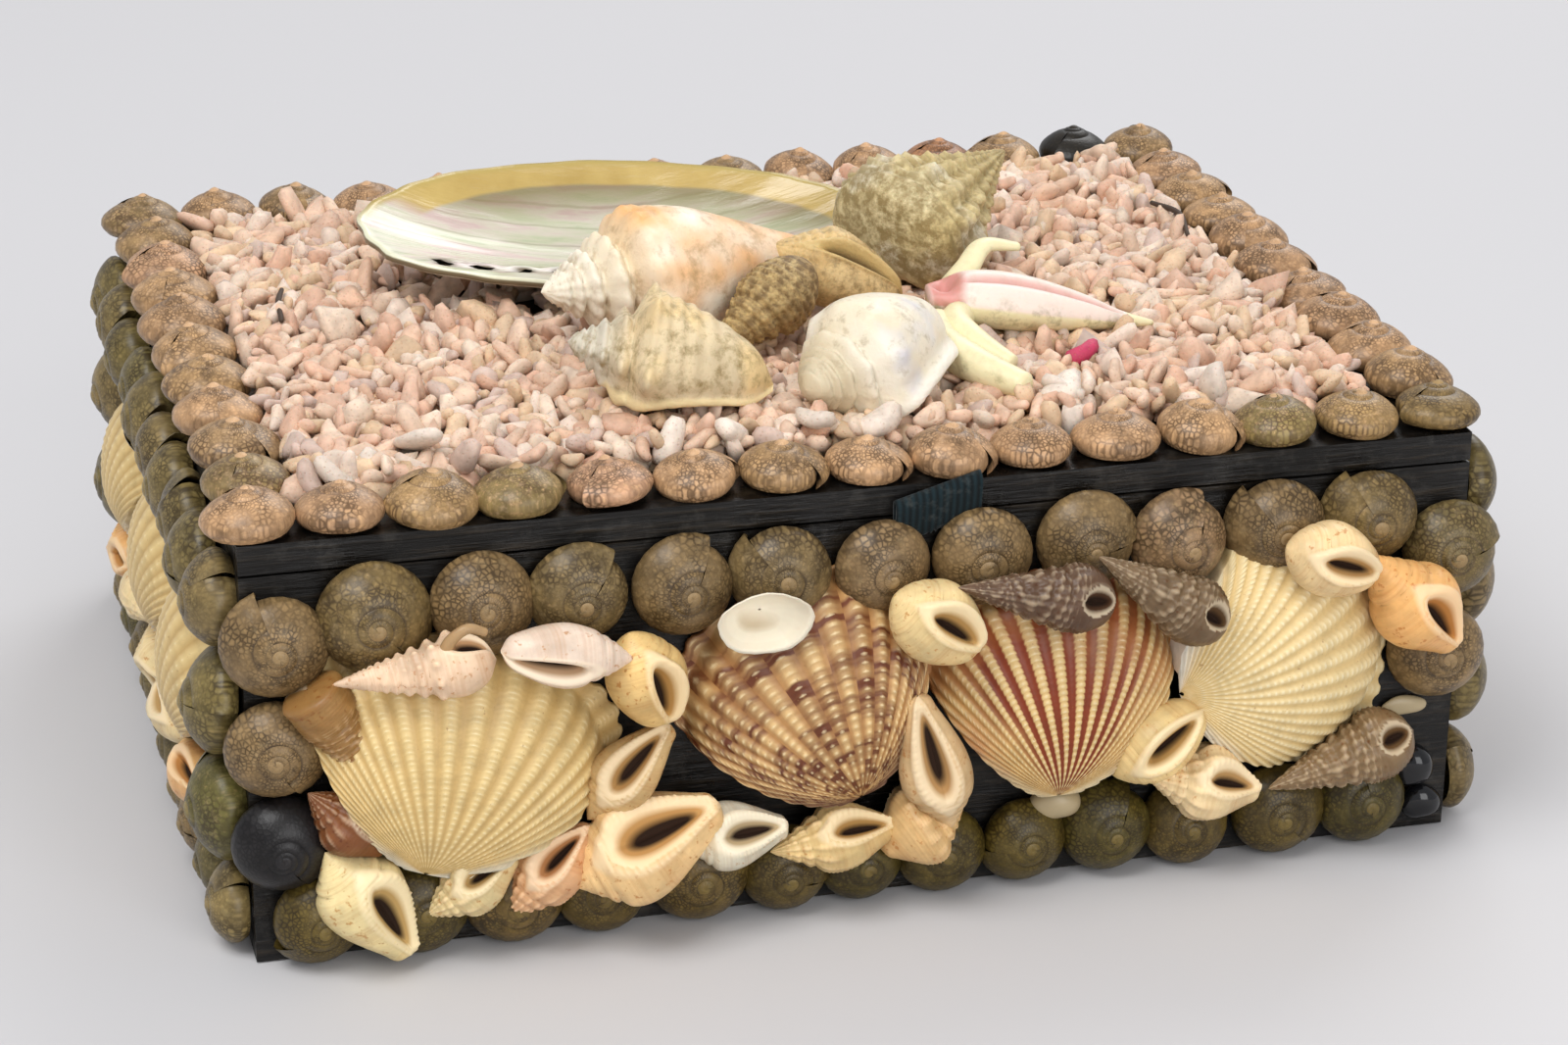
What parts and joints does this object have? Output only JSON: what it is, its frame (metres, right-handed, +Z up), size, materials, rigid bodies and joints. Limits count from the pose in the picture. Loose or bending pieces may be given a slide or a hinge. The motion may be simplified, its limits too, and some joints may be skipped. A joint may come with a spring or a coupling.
{
  "type": "shell box",
  "caption": "Small hollow trinket box of thin boards with a lift-off lid, covered in glued sea shells and topped with coral and large shells.",
  "frame": {"origin": "centre of the box's flat underside, on the surface that it stands on", "axes": "+X along the length to the right as seen from the front, +Y towards the back, +Z up"},
  "size_m": [0.1658, 0.1397, 0.0733],
  "materials": {
    "painted_board": "worn black paint",
    "button_shell": "polished shell",
    "cream_cockle": "ribbed satin shell",
    "brown_cockle": "ribbed satin shell",
    "snail_shell": "satin shell",
    "nacre": "pearly",
    "big_shell": "worn shell",
    "coral": "rough, matt",
    "cloth": "woven, matt"
  },
  "bodies": {
    "root": {"bottom_board": "painted_board", "front_wall": "painted_board", "back_wall": "painted_board", "left_wall": "painted_board", "right_wall": "painted_board", "lid_board": "painted_board", "lid_front_buttons": "button_shell", "lid_back_buttons": "button_shell", "lid_left_buttons": "button_shell", "lid_right_buttons": "button_shell", "front_top_buttons": "button_shell", "front_bottom_buttons": "button_shell", "front_left_end_buttons": "button_shell", "front_right_end_buttons": "button_shell", "left_top_buttons": "button_shell", "left_bottom_buttons": "button_shell", "left_back_end_buttons": "button_shell", "left_front_end_buttons": "button_shell", "right_top_buttons": "button_shell", "right_bottom_buttons": "button_shell", "right_front_end_buttons": "button_shell", "right_back_end_buttons": "button_shell", "back_top_buttons": "button_shell", "back_bottom_buttons": "button_shell", "back_right_end_buttons": "button_shell", "back_left_end_buttons": "button_shell", "front_cream_cockle": "cream_cockle", "front_yellow_cockle": "cream_cockle", "front_small_clam": "cream_cockle", "left_cockle_1": "cream_cockle", "left_cockle_2": "cream_cockle", "left_cockle_3": "cream_cockle", "right_cockle_1": "cream_cockle", "right_cockle_2": "cream_cockle", "right_cockle_3": "cream_cockle", "back_cockle_1": "cream_cockle", "back_cockle_2": "cream_cockle", "back_cockle_3": "cream_cockle", "front_brown_cockle": "brown_cockle", "front_striped_cockle": "brown_cockle", "front_left_high_snails": "snail_shell", "front_left_low_snails": "snail_shell", "front_gap_snails": "snail_shell", "front_middle_snails": "snail_shell", "front_upper_snails": "snail_shell", "front_right_low_snails": "snail_shell", "front_right_high_snails": "snail_shell", "left_snails": "snail_shell", "right_snails": "snail_shell", "back_snails": "snail_shell", "abalone": "nacre", "large_white_conch": "big_shell", "grey_knobbed_conch": "big_shell", "small_brown_shell": "big_shell", "tan_lipped_shell": "big_shell", "rough_top_shell": "big_shell", "pale_blue_conch": "big_shell", "spider_conch": "big_shell", "coral_bed": "coral", "cloth_tab": "cloth"}
  },
  "joints": []
}
